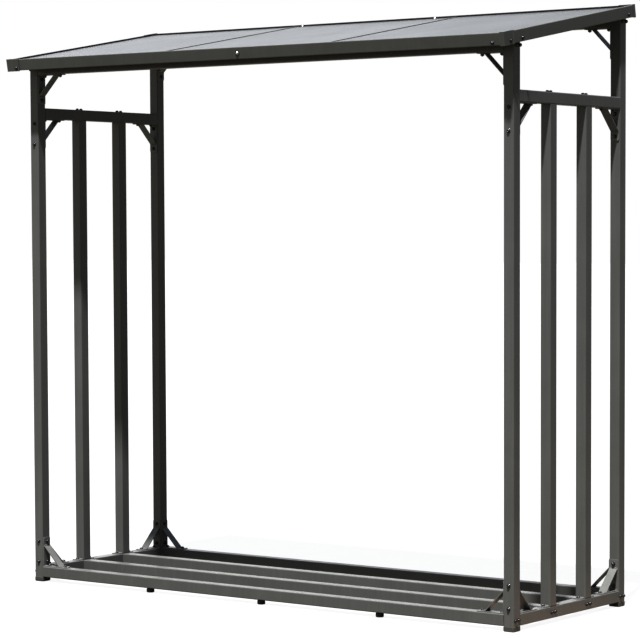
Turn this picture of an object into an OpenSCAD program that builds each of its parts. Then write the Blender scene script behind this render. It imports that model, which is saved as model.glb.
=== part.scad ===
// Open-fronted log store: a bolted frame of square steel tube under a mono-pitch sheet roof.
// Millimetres. +X runs along the long side, +Y from the open front to the back, +Z up.
// The origin is on the ground, under the centre of the overall box.

/* [Overall] */
// Length over the outsides of the corner posts
span_x = 1890; // [900:1:2400]
// Depth over the outsides of the corner posts
span_y = 632; // [420:1:1100]
// Height of the roof frame's top edge at the front
front_height = 1718; // [1000:1:2300]
// Pitch of the roof, rising to the back, in degrees
roof_slope = 9.9; // [3:0.1:18]

/* [Tubes] */
// Outside width of the square tube
tube = 35; // [25:1:60]
// Wall of the square tube
tube_wall = 1; // [0.8:0.1:3]
// Outside corner radius of the square tube
tube_corner = 3; // [2:0.5:6]

/* [Base] */
// Clear height under the base rails
ground_gap = 15; // [10:1:60]
// How far the foot cap's collar stands out beyond the tube
cap_flare = 1.5; // [0.5:0.5:4]
// Height of the narrower sole under the collar
cap_sole = 2; // [1:0.5:4]
// Depth of the cap's plug inside the post
cap_plug = 22; // [10:1:60]
// Diameter of the adjustable feet under the long rails
foot_dia = 25; // [14:1:34]
// Radius of the feet's lower edge
foot_round = 3; // [1:0.5:6]
// Number of adjustable feet under each long rail
foot_count = 3; // [1:1:5]

/* [Sides] */
// Height of the mid rail's underside
mid_rail_z = 1529; // [500:1:1560]
// Length of the flange plate under each upright bar
flange_length = 78; // [60:1:120]
// Width of the flange plate
flange_width = 31; // [20:1:60]
// Thickness of the flange plate
flange_t = 3; // [2:0.5:6]

/* [Corner brackets] */
// Length of each leg
bracket_leg = 97; // [70:1:160]
// Width of the legs
bracket_width = 30; // [16:1:60]
// Thickness of the legs and of the strut
bracket_t = 3; // [2:0.5:6]
// Distance from the corner to the middle of the strut's end
strut_reach = 70; // [40:1:140]
// Width of the strut
strut_width = 27; // [10:1:60]

/* [Roof] */
// Roof frame beyond the front posts, measured level
front_overhang = 87; // [30:1:200]
// Roof frame beyond the back posts, measured level
back_overhang = 15; // [12:1:120]
// Roof frame beyond the posts at each end
side_overhang = 20.5; // [14:0.5:80]
// Depth of the roof frame, square to the roof
frame_depth = 36.5; // [28:0.5:80]
// Sheet thickness of the roof frame
frame_t = 1.5; // [1:0.1:4]
// Width of the lip along the top of the roof frame
lip_width = 8; // [5:0.5:20]
// Width of the ledge that carries the sheets
ledge_width = 12; // [9:0.5:30]
// Depth of the sheets' upper face below the frame's top edge
sheet_drop = 5; // [3:0.5:12]
// Thickness of the roof sheets
sheet_t = 0.8; // [0.5:0.1:6]
// Gap between neighbouring sheets
sheet_gap = 5; // [3:0.5:12]
// Width of the seam strips under the joints between sheets
seam_width = 30; // [20:1:60]
// Depth of a seam strip's rib below the sheets' upper face
rib_drop = 0.3; // [0:0.1:0.4]
// Height of the rafters, square to the roof
rafter_h = 18; // [10:0.5:40]
// Width of the rafters
rafter_w = 24; // [16:1:60]

/* [Fits] */
// Gap between the foot caps and the rails beside them
cap_gap = 1; // [0.5:0.5:3]
// Gap between a plug and the tube around it
plug_clearance = 0.3; // [0.2:0.1:1]
// Gap left between a roof sheet and the frame or seam beside it
sheet_clearance = 0.5; // [0.2:0.1:2]
// Gap left between the posts' tops and the sheets above them
post_top_clearance = 3; // [1:0.5:10]

/* [Hidden] */
$fn = 48;

paint = [0.29, 0.29, 0.28];
sheet_paint = [0.40, 0.41, 0.43];
black = [0.05, 0.05, 0.05];

LEFT = -1;
RIGHT = 1;

// Smallest radius that a rounded corner keeps, and how far a cut runs past a face
least_radius = 0.5;
cut = 1;

// Counts that the node names fix: inner slats, each with a bar at both ends, and roof sheets
slat_count = 2;
sheet_count = 3;

// Box of the whole store along Y, which centres the origin
roof_top_front = -front_overhang;
roof_top_back = span_y + back_overhang;
roof_back_low = roof_top_back + frame_depth * sin(roof_slope);
y_origin = (roof_top_front + roof_back_low) / 2;

// Faces of the posts
post_x = span_x / 2 - tube;
front_y = -y_origin;
back_y = front_y + span_y - tube;
rail_top = ground_gap + tube;
slat_pitch = (span_y - tube) / (slat_count + 1);
cap_height = ground_gap - cap_gap;

// The roof's own frame: x along the front edge, y up the slope, z square to the roof, with
// its origin on the top front edge
roof_length = (span_y + front_overhang + back_overhang) / cos(roof_slope);
roof_half = span_x / 2 + side_overhang;
ledge_top = -sheet_drop - sheet_t;
ledge_bottom = ledge_top - frame_t;
rafter_bottom = ledge_bottom - rafter_h;
side_flange = side_overhang - frame_t;
sheet_pitch = 2 * roof_half / sheet_count;

// Height of a plane of the roof's frame above the point y (measured from the front posts)
function roof_height(z, y) =
    front_height + (y + front_overhang) * tan(roof_slope) + z / cos(roof_slope);

header_front_z = roof_height(rafter_bottom, 0) - tube;
header_back_z = roof_height(rafter_bottom, span_y - tube) - tube;
post_front_top = roof_height(ledge_top, 0) - post_top_clearance;
post_back_top = roof_height(ledge_top, span_y - tube) - post_top_clearance;

// ---- Shapes that repeat ----

module rounded_square(size, radius) {
    translate([radius, 0]) square([size - 2 * radius, size]);
    translate([0, radius]) square([size, size - 2 * radius]);
    for (x = [radius, size - radius], y = [radius, size - radius])
        translate([x, y]) circle(r = radius);
}

// Section of the square tube, with its corner at the origin
module tube_section() {
    difference() {
        rounded_square(tube, tube_corner);
        translate([tube_wall, tube_wall])
            rounded_square(tube - 2 * tube_wall, max(tube_corner - tube_wall, least_radius));
    }
}

module tube_along_x(length) {
    rotate([90, 0, 90]) linear_extrude(length) tube_section();
}

module tube_along_y(length) {
    translate([0, length, 0]) rotate([90, 0, 0]) linear_extrude(length) tube_section();
}

module tube_along_z(length) {
    linear_extrude(length) tube_section();
}

// x of a post's lower corner on one side
function side_x(side) = side == LEFT ? -span_x / 2 : post_x;

// Places its children in the roof's own frame
module on_roof() {
    translate([0, front_y - front_overhang, front_height]) rotate([roof_slope, 0, 0]) children();
}

// ---- Corner posts ----

module post(side, y, top) {
    color(paint) translate([side_x(side), y, cap_height]) tube_along_z(top - cap_height);
}

module foot_caps() {
    plug = tube - 2 * tube_wall - 2 * plug_clearance;
    collar = tube + 2 * cap_flare;
    for (side = [LEFT, RIGHT], y = [front_y, back_y])
        color(black) translate([side_x(side) + tube / 2, y + tube / 2, 0]) {
            cap_layer(0, cap_sole, tube);
            cap_layer(cap_sole, cap_height, collar);
            cap_layer(cap_height, cap_height + cap_plug, plug);
        }
}

// One square layer of a foot cap, centred, between two heights
module cap_layer(bottom, top, size) {
    radius = max(tube_corner + (size - tube) / 2, least_radius);
    translate([-size / 2, -size / 2, bottom])
        linear_extrude(top - bottom) rounded_square(size, radius);
}

// ---- Base: rails between the posts, slats between the side rails ----

module long_rail(y) {
    color(paint) translate([-post_x, y, ground_gap]) tube_along_x(2 * post_x);
}

module side_rail(side) {
    color(paint) translate([side_x(side), front_y + tube, ground_gap])
        tube_along_y(span_y - 2 * tube);
}

module slat(number) {
    color(paint) translate([-post_x, front_y + number * slat_pitch, ground_gap])
        tube_along_x(2 * post_x);
}

module adjustable_feet(y) {
    step = 2 * post_x / (foot_count + 1);
    for (i = [1 : foot_count])
        color(black) translate([-post_x + i * step, y + tube / 2, 0]) rotate_extrude() {
            square([foot_dia / 2 - foot_round, ground_gap]);
            translate([0, foot_round]) square([foot_dia / 2, ground_gap - foot_round]);
            translate([foot_dia / 2 - foot_round, foot_round]) intersection() {
                circle(r = foot_round);
                translate([0, -foot_round]) square(foot_round);
            }
        }
}

// ---- Sides: upright bars on flange plates, in line with the slats, under a mid rail ----

module bar(side, number) {
    foot = rail_top + flange_t;
    color(paint) translate([side_x(side), front_y + number * slat_pitch, foot])
        tube_along_z(mid_rail_z - foot);
}

// One plate under each bar of a side, on top of the side rail
module flange_plates(side) {
    for (number = [1 : slat_count])
        color(paint) translate([
            side_x(side) + (tube - flange_width) / 2,
            front_y + number * slat_pitch + (tube - flange_length) / 2,
            rail_top
        ]) cube([flange_width, flange_length, flange_t]);
}

module mid_rail(side) {
    color(paint) translate([side_x(side), front_y + tube, mid_rail_z])
        tube_along_y(span_y - 2 * tube);
}

// ---- Headers between the posts' tops ----

module header(y, z) {
    color(paint) translate([-post_x, y, z]) tube_along_x(2 * post_x);
}

// ---- Corner brackets: two legs and a diagonal strut, cut from flat bar ----

// Drawn in its own plane: the corner at the origin, one leg along x and one along z. The
// plane is the middle of the bracket's width.
module bracket() {
    half = bracket_t * sqrt(2) / 2;
    foot = bracket_t / 2;
    rotate([90, 0, 0]) {
        translate([0, 0, -bracket_width / 2]) linear_extrude(bracket_width) {
            square([bracket_leg, bracket_t]);
            square([bracket_t, bracket_leg]);
        }
        translate([0, 0, -strut_width / 2]) linear_extrude(strut_width)
            polygon([
                [strut_reach - half, foot], [strut_reach + half, foot],
                [foot, strut_reach + half], [foot, strut_reach - half]
            ]);
    }
}

// A bracket in the X-Z plane, on the inner face of the post at side and y, with its other
// leg on the face at height z. up is 1 above that face and -1 below it.
module bracket_along_x(side, y, z, up) {
    color(paint) translate([side * post_x, y + tube / 2, z]) scale_flip(-side, 1, up) bracket();
}

// A bracket in the Y-Z plane, between a post and a side member. along is 1 from a front
// post and -1 from a back post.
module bracket_along_y(side, along, z, up) {
    y = along == 1 ? front_y + tube : back_y;
    color(paint) translate([side_x(side) + tube / 2, y, z])
        scale_flip(1, along, up) rotate([0, 0, 90]) bracket();
}

// Mirrors along each axis whose sign is -1
module scale_flip(x, y, z) {
    mirror([x < 0 ? 1 : 0, 0, 0]) mirror([0, y < 0 ? 1 : 0, 0]) mirror([0, 0, z < 0 ? 1 : 0])
        children();
}

module brackets_base(side, along) {
    bracket_along_x(side, along == 1 ? front_y : back_y, rail_top, 1);
    bracket_along_y(side, along, rail_top, 1);
}

module brackets_mid(side) {
    for (along = [1, -1]) bracket_along_y(side, along, mid_rail_z, -1);
}

module brackets_header(y, z) {
    for (side = [LEFT, RIGHT]) bracket_along_x(side, y, z, -1);
}

// ---- Roof frame: folded sheet with a top lip, a ledge for the sheets and a lower flange ----

// Sections with the outer face on x = 0 and the top edge on y = 0; the frame lies at x > 0
module frame_web() {
    translate([0, -frame_depth]) square([frame_t, frame_depth]);
}

module frame_flanges(flange) {
    translate([0, -frame_t]) square([lip_width, frame_t]);
    translate([0, ledge_bottom]) square([frame_t + ledge_width, frame_t]);
    translate([0, -frame_depth]) square([frame_t + flange, frame_t]);
}

// One piece along z, its lip, ledge and flange cut back by trim at both ends
module frame_piece(run, trim, flange) {
    linear_extrude(run) frame_web();
    translate([0, 0, trim]) linear_extrude(run - 2 * trim) frame_flanges(flange);
}

module roof_frame_front() {
    color(paint) on_roof() translate([-roof_half, 0, 0]) rotate([90, 0, 90])
        frame_piece(2 * roof_half, frame_t, ledge_width);
}

module roof_frame_back() {
    color(paint) on_roof() translate([roof_half, roof_length, 0]) rotate([90, 0, -90])
        frame_piece(2 * roof_half, frame_t, ledge_width);
}

// The ends fit between the webs of the front and back pieces
module roof_frame_end(side) {
    run = roof_length - 2 * frame_t;
    color(paint) on_roof()
        translate([side * roof_half, side == LEFT ? frame_t + run : frame_t, 0])
            rotate([90, 0, side == LEFT ? 0 : 180]) frame_piece(run, ledge_width, side_flange);
}

// ---- Rafters and seam strips under the joints between the sheets ----

function seam_x(side) = side * (roof_half - sheet_pitch);

module rafter(side) {
    color(paint) on_roof()
        translate([seam_x(side) - rafter_w / 2, frame_t, rafter_bottom]) difference() {
            cube([rafter_w, roof_length - 2 * frame_t, rafter_h]);
            translate([tube_wall, -cut, tube_wall])
                cube([rafter_w - 2 * tube_wall, roof_length, rafter_h - 2 * tube_wall]);
        }
}

module seam_strip(side) {
    start = frame_t + ledge_width;
    rib = sheet_gap - 2 * sheet_clearance;
    color(paint) on_roof() translate([seam_x(side), start, ledge_bottom]) {
        translate([-seam_width / 2, 0, 0])
            cube([seam_width, roof_length - 2 * start, frame_t]);
        translate([-rib / 2, 0, 0])
            cube([rib, roof_length - 2 * start, frame_t + sheet_t - rib_drop]);
    }
}

// ---- Roof sheets ----

module roof_sheet(number) {
    edge = frame_t + sheet_clearance;
    left = number == 0 ? -roof_half + edge : -roof_half + number * sheet_pitch + sheet_gap / 2;
    right = number == sheet_count - 1
        ? roof_half - edge : -roof_half + (number + 1) * sheet_pitch - sheet_gap / 2;
    color(sheet_paint) on_roof() translate([left, edge, ledge_top])
        cube([right - left, roof_length - 2 * edge, sheet_t]);
}

// ---- Assembly ----

post(LEFT, front_y, post_front_top);  // post_front_left
post(RIGHT, front_y, post_front_top);  // post_front_right
post(LEFT, back_y, post_back_top);  // post_back_left
post(RIGHT, back_y, post_back_top);  // post_back_right
foot_caps();
long_rail(front_y);  // front_rail
long_rail(back_y);  // back_rail
side_rail(LEFT);  // side_rail_left
side_rail(RIGHT);  // side_rail_right
slat(1);  // slat_front
slat(slat_count);  // slat_back
adjustable_feet(front_y);  // adjustable_feet_front
adjustable_feet(back_y);  // adjustable_feet_back
flange_plates(LEFT);  // flange_plates_left
flange_plates(RIGHT);  // flange_plates_right
bar(LEFT, 1);  // bar_left_front
bar(LEFT, slat_count);  // bar_left_back
bar(RIGHT, 1);  // bar_right_front
bar(RIGHT, slat_count);  // bar_right_back
mid_rail(LEFT);  // mid_rail_left
mid_rail(RIGHT);  // mid_rail_right
header(front_y, header_front_z);  // header_front
header(back_y, header_back_z);  // header_back
brackets_base(LEFT, 1);  // brackets_base_front_left
brackets_base(RIGHT, 1);  // brackets_base_front_right
brackets_base(LEFT, -1);  // brackets_base_back_left
brackets_base(RIGHT, -1);  // brackets_base_back_right
brackets_mid(LEFT);  // brackets_mid_left
brackets_mid(RIGHT);  // brackets_mid_right
brackets_header(front_y, header_front_z);  // brackets_header_front
brackets_header(back_y, header_back_z);  // brackets_header_back
roof_frame_front();
roof_frame_back();
roof_frame_end(LEFT);  // roof_frame_left
roof_frame_end(RIGHT);  // roof_frame_right
rafter(LEFT);  // rafter_left
rafter(RIGHT);  // rafter_right
seam_strip(LEFT);  // seam_strip_left
seam_strip(RIGHT);  // seam_strip_right
roof_sheet(0);  // roof_sheet_left
roof_sheet(1);  // roof_sheet_middle
roof_sheet(2);  // roof_sheet_right
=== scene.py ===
import math
import random

import bmesh
import bpy
from mathutils import Matrix, Vector


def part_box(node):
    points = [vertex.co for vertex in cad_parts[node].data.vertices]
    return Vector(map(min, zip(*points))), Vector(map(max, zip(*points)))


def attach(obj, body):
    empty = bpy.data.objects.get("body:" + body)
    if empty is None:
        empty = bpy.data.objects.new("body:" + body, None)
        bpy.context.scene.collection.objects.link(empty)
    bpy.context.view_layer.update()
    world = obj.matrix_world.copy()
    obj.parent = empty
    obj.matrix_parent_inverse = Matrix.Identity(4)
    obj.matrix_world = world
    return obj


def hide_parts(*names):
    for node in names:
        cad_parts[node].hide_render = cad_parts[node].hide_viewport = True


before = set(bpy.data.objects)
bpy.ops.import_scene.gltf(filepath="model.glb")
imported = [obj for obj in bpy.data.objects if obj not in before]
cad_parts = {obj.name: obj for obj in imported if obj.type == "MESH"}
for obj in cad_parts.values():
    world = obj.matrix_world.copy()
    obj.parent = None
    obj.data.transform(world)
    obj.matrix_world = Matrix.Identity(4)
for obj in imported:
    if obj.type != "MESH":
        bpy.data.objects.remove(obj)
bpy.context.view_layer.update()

MM = 0.001


# ---- Where the store is seen from ----
# A long lens stands well back from the right-hand end, a little above the middle of the store.
# It is shifted, not tilted further, so that the posts stay upright in the picture.
CAMERA_PLACE = (4.8985, -6.4102, 1.1762)
CAMERA_TURN = math.radians(35.762)
CAMERA_DIP = math.radians(3.395)
CAMERA_ROLL = math.radians(-0.157)
CAMERA_LENS = 142.82
CAMERA_SHIFT = (-0.1, 0.089)

camera_data = bpy.data.cameras.new("camera")
camera_data.sensor_width = 36
camera_data.lens = CAMERA_LENS
camera_data.shift_x, camera_data.shift_y = CAMERA_SHIFT
camera_data.clip_end = 200
camera = bpy.data.objects.new("camera", camera_data)
camera.matrix_world = (
    Matrix.Translation(CAMERA_PLACE)
    @ Matrix.Rotation(CAMERA_TURN, 4, "Z")
    @ Matrix.Rotation(math.radians(90) - CAMERA_DIP, 4, "X")
    @ Matrix.Rotation(CAMERA_ROLL, 4, "Z")
)
bpy.context.scene.collection.objects.link(camera)
bpy.context.scene.camera = camera


# ---- Corner posts ----
# Four uprights of square steel tube with rounded corners, powder-coated in anthracite grey
# before assembly. The coat has a faint orange-peel skin and thins on the corners.
POST_NODES = ["post_front_left", "post_front_right", "post_back_left", "post_back_right"]
TUBE_COAT = (0.057, 0.0595, 0.0585)
TUBE_COAT_THIN = (0.11, 0.11, 0.105)
DUST_COLOUR = (0.20, 0.19, 0.17)
DUST_DULLS = 0.25
WEAR_GAIN = 9.0
RUN_PALENESS = 1.5
RUN_STRETCH = (1.0, 1.0, 0.03)
BROKEN_WEAR = (0.42, 0.62)
DUSTY_SLOPES = (0.3, 0.95)
DUSTY_FILM = (0.3, 0.75)
WET_RUNS = (0.45, 0.75)


def add(tree, kind, takes=None, **settings):
    """Adds a shader node; takes gives each input a value or another node's output."""
    made = tree.nodes.new("ShaderNode" + kind)
    for name, value in settings.items():
        setattr(made, name, value)
    for name, value in (takes or {}).items():
        if isinstance(value, bpy.types.NodeSocket):
            tree.links.new(value, made.inputs[name])
        else:
            made.inputs[name].default_value = value
    return made


def mixed(tree, share, under, over):
    """One colour laid over another; share is how much of the upper one shows."""
    as_colour = [c if isinstance(c, bpy.types.NodeSocket) else (*c, 1) for c in (under, over)]
    takes = {0: share, 6: as_colour[0], 7: as_colour[1]}
    return add(tree, "Mix", takes, data_type="RGBA").outputs[2]


def worked(tree, operation, first, second, third=0.0):
    """A sum done on values; the result is kept between 0 and 1."""
    takes = {0: first, 1: second, 2: third}
    return add(tree, "Math", takes, operation=operation, use_clamp=True).outputs[0]


def spread(tree, value, limits, **settings):
    """A value drawn out so that it goes from 0 to 1 between two limits."""
    takes = {"Value": value, "From Min": limits[0], "From Max": limits[1]}
    return add(tree, "MapRange", takes, **settings).outputs["Result"]


def new_effect(name, takes, gives):
    """A node group with named inputs and outputs, and its input and output nodes."""
    tree = bpy.data.node_groups.new(name, "ShaderNodeTree")
    for socket, value in takes.items():
        made = tree.interface.new_socket(socket, in_out="INPUT", socket_type="NodeSocketFloat")
        made.default_value = value
    for socket in gives:
        tree.interface.new_socket(socket, in_out="OUTPUT", socket_type="NodeSocketFloat")
    return tree, tree.nodes.new("NodeGroupInput"), tree.nodes.new("NodeGroupOutput")


def place_effect(tree, effect, takes):
    """Places a node group in a material with its own values."""
    made = tree.nodes.new("ShaderNodeGroup")
    made.node_tree = effect
    for name, value in takes.items():
        made.inputs[name].default_value = value
    return made.outputs


def build_coat_skin():
    """The skin of a sprayed or moulded surface: a fine height, and broad soft patches."""
    takes = {"Grain Per Metre": 420.0, "Patches Per Metre": 7.0}
    tree, given, result = new_effect("coat skin", takes, ["Height", "Patches"])
    place = add(tree, "TexCoord").outputs["Object"]
    fine = {"Vector": place, "Scale": given.outputs["Grain Per Metre"], "Detail": 2.0}
    broad = {"Vector": place, "Scale": given.outputs["Patches Per Metre"], "Detail": 4.0,
             "Roughness": 0.6, "Distortion": 0.4}
    tree.links.new(add(tree, "TexNoise", fine).outputs["Fac"], result.inputs["Height"])
    tree.links.new(add(tree, "TexNoise", broad).outputs["Fac"], result.inputs["Patches"])
    return tree


def build_edge_wear():
    """Where edges and corners are rubbed: the bend of the surface, broken up by a noise."""
    takes = {"Reach": 1.5 * MM, "Spots Per Metre": 60.0}
    tree, given, result = new_effect("edge wear", takes, ["Mask"])
    true = add(tree, "NewGeometry").outputs["Normal"]
    eased = add(tree, "Bevel", {"Radius": given.outputs["Reach"]}, samples=4).outputs[0]
    agree = add(tree, "VectorMath", {0: true, 1: eased}, operation="DOT_PRODUCT").outputs["Value"]
    bend = worked(tree, "MULTIPLY", worked(tree, "SUBTRACT", 1.0, agree), WEAR_GAIN)
    place = add(tree, "TexCoord").outputs["Object"]
    spots = {"Vector": place, "Scale": given.outputs["Spots Per Metre"], "Detail": 5.0}
    broken = spread(tree, add(tree, "TexNoise", spots).outputs["Fac"], BROKEN_WEAR)
    tree.links.new(worked(tree, "MULTIPLY", bend, broken), result.inputs["Mask"])
    return tree


def build_settled_dust():
    """Dust that has settled on faces that look up, in a broken film."""
    takes = {"Amount": 0.3, "Spots Per Metre": 25.0}
    tree, given, result = new_effect("settled dust", takes, ["Mask"])
    normal = add(tree, "NewGeometry").outputs["Normal"]
    up = add(tree, "SeparateXYZ", {0: normal}).outputs["Z"]
    level = spread(tree, up, DUSTY_SLOPES)
    place = add(tree, "TexCoord").outputs["Object"]
    film = {"Vector": place, "Scale": given.outputs["Spots Per Metre"], "Detail": 6.0,
            "Roughness": 0.65}
    film = spread(tree, add(tree, "TexNoise", film).outputs["Fac"], DUSTY_FILM)
    lying = worked(tree, "MULTIPLY", level, film)
    lying = worked(tree, "MULTIPLY", lying, given.outputs["Amount"])
    tree.links.new(lying, result.inputs["Mask"])
    return tree


def build_rain_streaks():
    """Faint upright runs that drying rain leaves on standing faces."""
    takes = {"Runs Per Metre": 70.0}
    tree, given, result = new_effect("rain streaks", takes, ["Mask"])
    place = add(tree, "TexCoord").outputs["Object"]
    drawn = add(tree, "VectorMath", {0: place, 1: RUN_STRETCH}, operation="MULTIPLY")
    runs = {"Vector": drawn.outputs[0], "Scale": given.outputs["Runs Per Metre"], "Detail": 3.0}
    runs = spread(tree, add(tree, "TexNoise", runs).outputs["Fac"], WET_RUNS)
    tree.links.new(runs, result.inputs["Mask"])
    return tree


coat_skin = build_coat_skin()
edge_wear = build_edge_wear()
settled_dust = build_settled_dust()
rain_streaks = build_rain_streaks()


def start_finish(name, grain, patches):
    """A new material, its shader and node tree, and the skin that every finish here has."""
    material = bpy.data.materials.new(name)
    material.use_nodes = True
    tree = material.node_tree
    skin = place_effect(tree, coat_skin, {"Grain Per Metre": grain, "Patches Per Metre": patches})
    return material, tree.nodes["Principled BSDF"], tree, skin


def patched(tree, skin, colour, darkest, palest):
    """A colour that goes from darker to paler in the skin's soft patches."""
    dark = [c * darkest for c in colour]
    pale = [min(1, c * palest) for c in colour]
    return mixed(tree, skin["Patches"], dark, pale)


def patched_level(tree, skin, least, more):
    """A roughness that rises from its least by up to so much more in the soft patches."""
    return worked(tree, "MULTIPLY_ADD", skin["Patches"], more, least)


def end_finish(shader, tree, skin, colour, rough, bump, height):
    """Gives the shader the colour, roughness and fine bump that change over the surface."""
    tree.links.new(colour, shader.inputs["Base Color"])
    tree.links.new(rough, shader.inputs["Roughness"])
    fine = add(tree, "Bump", {"Strength": bump, "Distance": height, "Height": skin["Height"]})
    tree.links.new(fine.outputs["Normal"], shader.inputs["Normal"])


def powder_coat(name, coat, thin, rough=0.38, dust=0.35, patches=7.0, streaks=0.25, gloss=0.42):
    """Powder coat on steel: patchy tone, worn edges, dust on top and faint rain runs."""
    material, shader, tree, skin = start_finish(name, grain=700.0, patches=patches)
    worn = place_effect(tree, edge_wear, {"Reach": 1.6 * MM, "Spots Per Metre": 60.0})
    dusty = place_effect(tree, settled_dust, {"Amount": dust, "Spots Per Metre": 25.0})
    runs = place_effect(tree, rain_streaks, {"Runs Per Metre": 70.0})
    run_share = worked(tree, "MULTIPLY", runs["Mask"], streaks)
    patchy = patched(tree, skin, coat, darkest=0.85, palest=1.18)
    streaky = mixed(tree, run_share, patchy, [c * RUN_PALENESS for c in coat])
    rubbed = mixed(tree, worn["Mask"], streaky, thin)
    colour = mixed(tree, dusty["Mask"], rubbed, DUST_COLOUR)
    level = patched_level(tree, skin, least=rough - 0.08, more=0.16)
    level = worked(tree, "MULTIPLY_ADD", dusty["Mask"], DUST_DULLS, level)
    end_finish(shader, tree, skin, colour, level, bump=0.5, height=0.18 * MM)
    shader.inputs["Specular IOR Level"].default_value = gloss
    return material


def paint_node(name, material):
    """Gives a CAD node its finish in every material slot it has."""
    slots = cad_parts[name].data.materials
    for number in range(len(slots)):
        slots[number] = material


tube_finish = powder_coat("tube powder coat", TUBE_COAT, TUBE_COAT_THIN)
for post in POST_NODES:
    paint_node(post, tube_finish)


# ---- Foot caps ----
# A moulded cap of dark grey plastic closes the lower end of each post. Its collar stands out a
# little beyond the tube, above a thin narrower sole, and a plug holds it inside the tube.
CAP_PLASTIC = (0.034, 0.034, 0.032)
RUBBED_PLASTIC = 2.2
CAP_FLARE = 1.5 * MM
CAP_SOLE = 2 * MM
CAP_PLUG = 22 * MM
CAP_EASE = 0.5 * MM
TUBE_CORNER = 3 * MM
TUBE_WALL = 1 * MM
PLUG_CLEARANCE = 0.3 * MM
CORNER_STEPS = 6


def loft(bm, rings, place=Matrix.Identity(4)):
    """Skins a row of rings that have equally many points, and closes both ends."""
    rows = [[bm.verts.new(place @ Vector(point)) for point in ring] for ring in rings]
    for low, high in zip(rows, rows[1:]):
        for i in range(len(low)):
            j = (i + 1) % len(low)
            bm.faces.new((low[i], low[j], high[j], high[i]))
    bm.faces.new(rows[0][::-1])
    bm.faces.new(rows[-1])


def square_ring(size, radius, height):
    """A square with rounded corners, level, about the upright axis."""
    points = []
    for quarter, (right, up) in enumerate(((1, 1), (-1, 1), (-1, -1), (1, -1))):
        for step in range(CORNER_STEPS + 1):
            angle = math.radians(90) * (quarter + step / CORNER_STEPS)
            x = right * (size / 2 - radius) + radius * math.cos(angle)
            y = up * (size / 2 - radius) + radius * math.sin(angle)
            points.append((x, y, height))
    return points


def make_piece(name, bm, material, nodes=(), sharp=38):
    """Turns a bmesh into a piece of the store that stands for the CAD nodes it replaces."""
    bmesh.ops.recalc_face_normals(bm, faces=bm.faces[:])
    mesh = bpy.data.meshes.new(name)
    bm.to_mesh(mesh)
    bm.free()
    mesh.polygons.foreach_set("use_smooth", [True] * len(mesh.polygons))
    mesh.set_sharp_from_angle(angle=math.radians(sharp))
    mesh.materials.append(material)
    piece = bpy.data.objects.new(name, mesh)
    bpy.context.scene.collection.objects.link(piece)
    even = piece.modifiers.new("even shading", "WEIGHTED_NORMAL")
    even.keep_sharp = True
    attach(piece, "root")
    if nodes:
        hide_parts(*nodes)
    return piece


def moulded_plastic(name, colour, rough):
    """Moulded plastic with a fine spark texture, paler where it is rubbed."""
    material, shader, tree, skin = start_finish(name, grain=1400.0, patches=30.0)
    worn = place_effect(tree, edge_wear, {"Reach": 1.2 * MM, "Spots Per Metre": 150.0})
    patchy = patched(tree, skin, colour, darkest=0.8, palest=1.2)
    rubbed = mixed(tree, worn["Mask"], patchy, [c * RUBBED_PLASTIC for c in colour])
    level = patched_level(tree, skin, least=rough - 0.1, more=0.2)
    end_finish(shader, tree, skin, rubbed, level, bump=0.4, height=0.06 * MM)
    shader.inputs["Specular IOR Level"].default_value = 0.35
    return material


def cap_layers(tube, height):
    """Rings of one cap from its sole to the top of its plug: (size, height) pairs."""
    collar = tube + 2 * CAP_FLARE
    plug = tube - 2 * TUBE_WALL - 2 * PLUG_CLEARANCE
    ease = CAP_EASE
    return [
        (tube - 2 * ease, 0), (tube, ease), (tube, CAP_SOLE), (collar - 2 * ease, CAP_SOLE),
        (collar, CAP_SOLE + ease), (collar, height - 2.4 * ease), (collar - ease, height - ease),
        (tube + ease, height), (plug, height), (plug, height + CAP_PLUG - 2 * ease),
        (plug - 2 * ease, height + CAP_PLUG),
    ]


bm = bmesh.new()
for post in POST_NODES:
    low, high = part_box(post)
    middle = Matrix.Translation(((low.x + high.x) / 2, (low.y + high.y) / 2, 0))
    tube = high.x - low.x
    rings = [
        square_ring(size, max(TUBE_CORNER + (size - tube) / 2, CAP_EASE), height)
        for size, height in cap_layers(tube, low.z)
    ]
    loft(bm, rings, middle)
cap_plastic = moulded_plastic("cap plastic", CAP_PLASTIC, 0.5)
make_piece("post_foot_caps", bm, cap_plastic, ["foot_caps"])


# ---- Base rails ----
# Two long rails butt between the posts at the front and back, and two short ones join the
# posts at each end. All are the posts' own tube, in the same coat.
for rail in ("front_rail", "back_rail", "side_rail_left", "side_rail_right"):
    paint_node(rail, tube_finish)


# ---- Adjustable feet ----
# Three black plastic feet screw into the underside of each long rail, so that its middle
# doesn't sag under the logs. Each has a grip of shallow ribs and a rounded lower edge.
FOOT_PLASTIC = (0.010, 0.010, 0.011)
FOOT_RIBS = 20
FOOT_RIB_DEPTH = 0.35 * MM
FOOT_RIBS_ABOVE_EDGE = 0.6 * MM
FOOT_EDGE = 3 * MM
FOOT_RIM = 0.8 * MM
FOOT_NECK_HEIGHT = 2.5 * MM
FOOT_NECK_SHARE = 0.72


def turned_ring(radius, height, sides=24, ribs=0, depth=0.0):
    """A level ring about the upright axis, with shallow ribs if they are asked for."""
    points = []
    for step in range(sides):
        angle = math.tau * step / sides
        r = radius - depth * (0.5 + 0.5 * math.cos(ribs * angle)) if ribs else radius
        points.append((r * math.cos(angle), r * math.sin(angle), height))
    return points


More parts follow.
